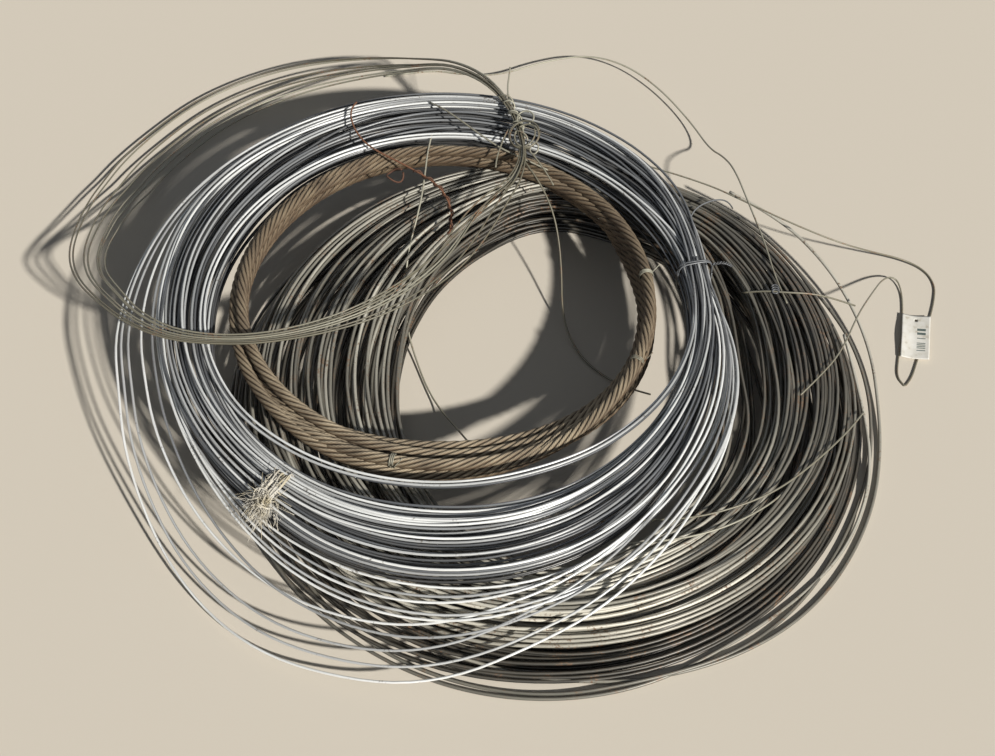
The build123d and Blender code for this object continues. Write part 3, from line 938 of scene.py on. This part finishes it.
# where they sit, as angles counted on along the rope
for target in (380, 348, 280 + 3 * 360):
    i = int((target - rope_start) / (360 * len(rope_turns)) * len(rope_line))
    spot = rope_line[i - 1 : i + 2]
    side, up = sections(spot)
    along = (spot[2] - spot[0]) / np.linalg.norm(spot[2] - spot[0])
    wraps = np.linspace(0, seizing_wraps * 2 * np.pi, 60)
    ring = side[1] * np.cos(wraps)[:, None] + up[1] * np.sin(wraps)[:, None]
    shift = (wraps / wraps[-1] - 0.5) * seizing_width
    seizing = spot[1] + ring * (rope_drawn / 2 + 0.6) + along * shift[:, None]
    tail = seizing[-1] + np.arange(1, 6)[:, None] * (1.6, 1.0, 1.4)
    seizing_runs.append(np.vstack([seizing, tail]))
seizings = wires("rope_seizings", seizing_runs, seizing_wire, 6, rng)
seizings.data.materials.append(thin_steel)
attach(seizings, "root")


# Ties round the bright coil
def section_loop(angle, inner_r, outer_r, low, high, shift, jitter, rng):
    """A closed loop round the bright coil's section at an angle, shifted along the coil."""
    count = 44
    wide, tall = (outer_r - inner_r) / 2, (high - low) / 2
    middle_r, middle_z = (outer_r + inner_r) / 2, (high + low) / 2
    s = np.linspace(0, 2 * np.pi, count)
    squared = (np.abs(np.cos(s)) ** 4 + np.abs(np.sin(s)) ** 4) ** -0.25
    out = middle_r + wide * squared * np.cos(s)
    z = middle_z + tall * squared * np.sin(s)
    along = shift + jitter * (wander(rng, count, count / 5, 0.0) - 0.5)
    a = math.radians(angle)
    way, side = np.array([math.cos(a), math.sin(a)]), np.array([-math.sin(a), math.cos(a)])
    flat = bright_centre + out[:, None] * way + along[:, None] * side
    return np.column_stack([flat, z])


tie_angle = 12
tie_runs = [
    section_loop(tie_angle, 243.5, 280, 74.6, 112, shift, 1.5, rng) for shift in (-1.3, 1.3)
]
tie_end_route = [(171, 103, 106), (178, 105, 107), (186, 108, 103), (193, 110, 96)]
tie_line = spline_line("tie_end", tie_end_route, 1.5)
tie_runs += [twisted(tie_line, 1.1, 7, start) for start in (0, math.pi)]
base_tie_route = [
    (150, 176, 58), (153, 184, 72), (157, 196, 79.5), (164, 207, 81), (176, 216, 80.5),
    (190, 222, 79), (202, 226, 70), (207, 228, 58),
]
tie_runs.append(spline_line("base_tie", base_tie_route, 3))
# a small twist on the bottom coil at the right
s = np.linspace(0, 5 * np.pi, 50)
tie_runs.append(np.column_stack([
    238 + 3.5 * np.cos(s), 88 + 2.6 * np.sin(s) + 0.5 * s, 79.5 + np.sin(s),
]))
tie_depths = [np.full(len(r), 0.5) for r in tie_runs]
wire_tie = wires("wire_ties", tie_runs, 1.6, 7, rng, tie_depths)
wire_tie.data.materials.append(galvanised)
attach(wire_tie, "root")
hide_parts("wire_tie")

# Twine: strands round the bright coil, with a frayed knot at its outer edge
rng = np.random.default_rng(31)
twine_angle = -125
twine_strands, knot_loops, fibre_count = 10, 12, 420
strand_runs = []
for strand in range(twine_strands):
    shift = (strand - (twine_strands - 1) / 2) * 1.75 + rng.normal(0, 0.5)
    top = 112.5 + rng.uniform(0, 2.4)
    strand_runs.append(
        section_loop(twine_angle, 250 + rng.uniform(-2, 2), 287, 75.6, top, shift, 8, rng)
    )
knot_place = ring_run(bright_centre, 286, math.radians(twine_angle), 103)
for _ in range(knot_loops):
    axis = rng.normal(size=3)
    axis /= np.linalg.norm(axis)
    first = np.cross(axis, rng.normal(size=3))
    first /= np.linalg.norm(first)
    second = np.cross(axis, first)
    s = np.linspace(0, rng.uniform(3, 6), 24)
    size = rng.uniform(3, 7.5)
    middle = knot_place + rng.normal(0, 4, 3)
    strand_runs.append(middle + size * (np.cos(s)[:, None] * first + np.sin(s)[:, None] * second))
for strand in strand_runs:
    strand[:, 2] = np.maximum(strand[:, 2], 76.5)
fibre_runs = []
for _ in range(fibre_count):
    if rng.random() < 0.55:
        root = knot_place + rng.normal(0, 5, 3)
        length = rng.uniform(7, 22)
    else:
        ring = strand_runs[rng.integers(twine_strands)]
        root = ring[rng.integers(4, 30)] + rng.normal(0, 0.6, 3)
        length = rng.uniform(3, 9)
    way = rng.normal(size=3) + (-0.5, -0.7, 0.2)
    way /= np.linalg.norm(way)
    bend = rng.normal(0, 0.35, 3) - (0, 0, 0.35)
    s = np.linspace(0, 1, 6)[:, None]
    fibre_runs.append(root + length * (s * way + s**2 * bend))
for fibre in fibre_runs:
    fibre[:, 2] = np.maximum(fibre[:, 2], 1.0)
twine = wires("twine_strands", strand_runs, 1.7, 6, rng)
fibres = wires("twine_fibres", fibre_runs, 0.5, 4, rng)
for piece in (twine, fibres):
    piece.data.materials.append(twine_fibre)
    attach(piece, "root")
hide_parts("twine_tie")

# Knot of the hank: two windings round its turns, open loops and three ends
rng = np.random.default_rng(41)


def open_loop(offset, across, deep, lift, start, sweep):
    """An open loop of wire beside the knot that lies about level."""
    s = np.linspace(start, start + sweep, 56)
    loop = [across * np.cos(s), deep * np.sin(s), lift * np.sin(s + 0.7)]
    return loops_at + offset + np.column_stack(loop)


bound = np.radians(np.linspace(24.5, 4.5, 60))
bundle_line = ring_run(hank_centre, 249.5, bound, np.full(60, 118.6))
loops_at = bundle_line[-14] + (3, 0, 3.5)
knot_runs = [
    twisted(bundle_line, 5.4, 30, 0.4),
    twisted(bundle_line[:42], 5.0, 17, 2.6),
    open_loop((0, 0, 0), 16, 18, 4, 0.2, 6.2),
    open_loop((2, -2, 0.5), 13, 15, 3, 2.6, 5.9),
    open_loop((-3, 1, -0.5), 14, 16, 4, 1.6, 5.0),
    open_loop((1, 25, 1), 9, 9, 2, 3.6, 6.1),
    open_loop((10, -19, -2), 4.5, 6, 3, 0.4, 11.5),
]
for route in (
    [(-36, 330, 119), (-38, 340, 119), (-39, 352, 122), (-37, 364, 127), (-36, 374, 131)],
    [(-38, 288, 119), (-43, 276, 119), (-47, 262, 117), (-51, 250, 113), (-52, 240, 109)],
    [(-19, 262, 118), (-8, 248, 114), (4, 232, 106), (10, 222, 100)],
):
    knot_runs.append(spline_line("knot_end", route, 2.5))
knot = wires("hank_knot_wire", knot_runs, 1.9, 7, rng)
knot.data.materials.append(thin_steel)
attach(knot, "root")
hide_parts("hank_knot")

# Tag: a pale card, a little bent, with its hole and plain bars
tag_long, tag_wide, tag_thick = 60.0, 30.0, 0.44
tag_curl, tag_bow = 5.2, 1.6
tag_turn = math.radians(-10)
tag_place = (397.0, 91.0, 2.75)
across_steps, along_steps = 20, 36
u, v = np.meshgrid(
    np.arange(across_steps + 1) / across_steps, np.arange(along_steps + 1) / along_steps
)
u, v = u.ravel(), v.ravel()
x, y = (u - 0.5) * tag_wide, (v - 0.5) * tag_long
underside = np.column_stack([
    x * math.cos(tag_turn) - y * math.sin(tag_turn),
    x * math.sin(tag_turn) + y * math.cos(tag_turn),
    tag_curl * abs(u - 0.42) ** 1.5 + tag_bow * np.sin(math.pi * v) ** 2 * (1 - u),
]) + tag_place
card = np.vstack([underside + [0, 0, tag_thick], underside])
card_uv = np.tile(np.column_stack([u * tag_wide, v * tag_long]) * MM, (2, 1))
card_faces = []
row_of = across_steps + 1
sheet = len(underside)
# the squares of the card that are left out for its hole
hole = {(i, j) for i in (9, 10) for j in (31, 32)}
for j in range(along_steps):
    for i in range(across_steps):
        if (i, j) not in hole:
            a, b = j * row_of + i, j * row_of + i + 1
            c, d = b + row_of, a + row_of
            card_faces += [[a, b, c, d], [sheet + d, sheet + c, sheet + b, sheet + a]]
# a strip joins the two sides along each edge that only one square of the card has
tops = [face for face in card_faces if face[0] < sheet]
edges = [edge for face in tops for edge in zip(face, face[1:] + face[:1])]
taken = set(edges)
card_faces += [[b, a, sheet + a, sheet + b] for a, b in edges if (b, a) not in taken]
card_uvs = card_uv[[n for face in card_faces for n in face]]
tag = mesh_object("tag_card", card, card_faces, card_uvs, np.full(len(card), 0.5))
tag.data.materials.append(tag_paper)
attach(tag, "root")
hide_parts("tag")

# Floor
floor_mesh = bpy.data.meshes.new("floor")
half = 40.0
corners = [(-half, -half, 0), (half, -half, 0), (half, half, 0), (-half, half, 0)]
floor_mesh.from_pydata(corners, [], [(0, 1, 2, 3)])
floor = add_object("floor", floor_mesh)
pale, tree, shader = nodes_of("pale_floor")
give(tree, shader, {"Base Color": (0.66, 0.61, 0.53, 1), "Roughness": 0.9})
floor_mesh.materials.append(pale)

# Light: a low sun from the right front, and a pale sky
world = bpy.data.worlds.new("sky")
scene.world = world
world.use_nodes = True
tree = world.node_tree
# what the camera, glass and polished metal see of the sky is lighter than its light
path = add(tree, "ShaderNodeLightPath").outputs
seen = maths(tree, "MAXIMUM", path["Is Camera Ray"], path["Is Transmission Ray"])
seen = maths(tree, "MAXIMUM", seen, path["Is Glossy Ray"])
strength = map_range(tree, seen, (0.0, 1.0), (0.11, 0.8))
give(tree, tree.nodes["Background"], {"Color": (0.86, 0.92, 1.0, 1), "Strength": strength})

sun_data = bpy.data.lights.new("sun", "SUN")
sun_data.energy = 4.9
sun_data.color = (1.0, 0.96, 0.89)
sun_data.angle = math.radians(2.5)
sun = add_object("sun", sun_data)
sun_height, sun_side = math.radians(34), math.radians(129)
sun_way = ring_run((0, 0), math.cos(sun_height), sun_side, -math.sin(sun_height))
sun.rotation_euler = Vector(sun_way).to_track_quat("-Z", "Y").to_euler()

# Camera at the photograph's viewing angle
camera_data = bpy.data.cameras.new("camera")
camera_data.lens = 63.6
camera_data.sensor_width = 36.0
camera_data.sensor_fit = "HORIZONTAL"
camera = add_object("camera", camera_data)
camera.location = (-0.050, -1.101, 1.458)
aim = Vector((-0.050, 0.038, 0.0)) - camera.location
camera.rotation_euler = aim.to_track_quat("-Z", "Y").to_euler()
scene.camera = camera
scene.view_settings.view_transform = "Standard"
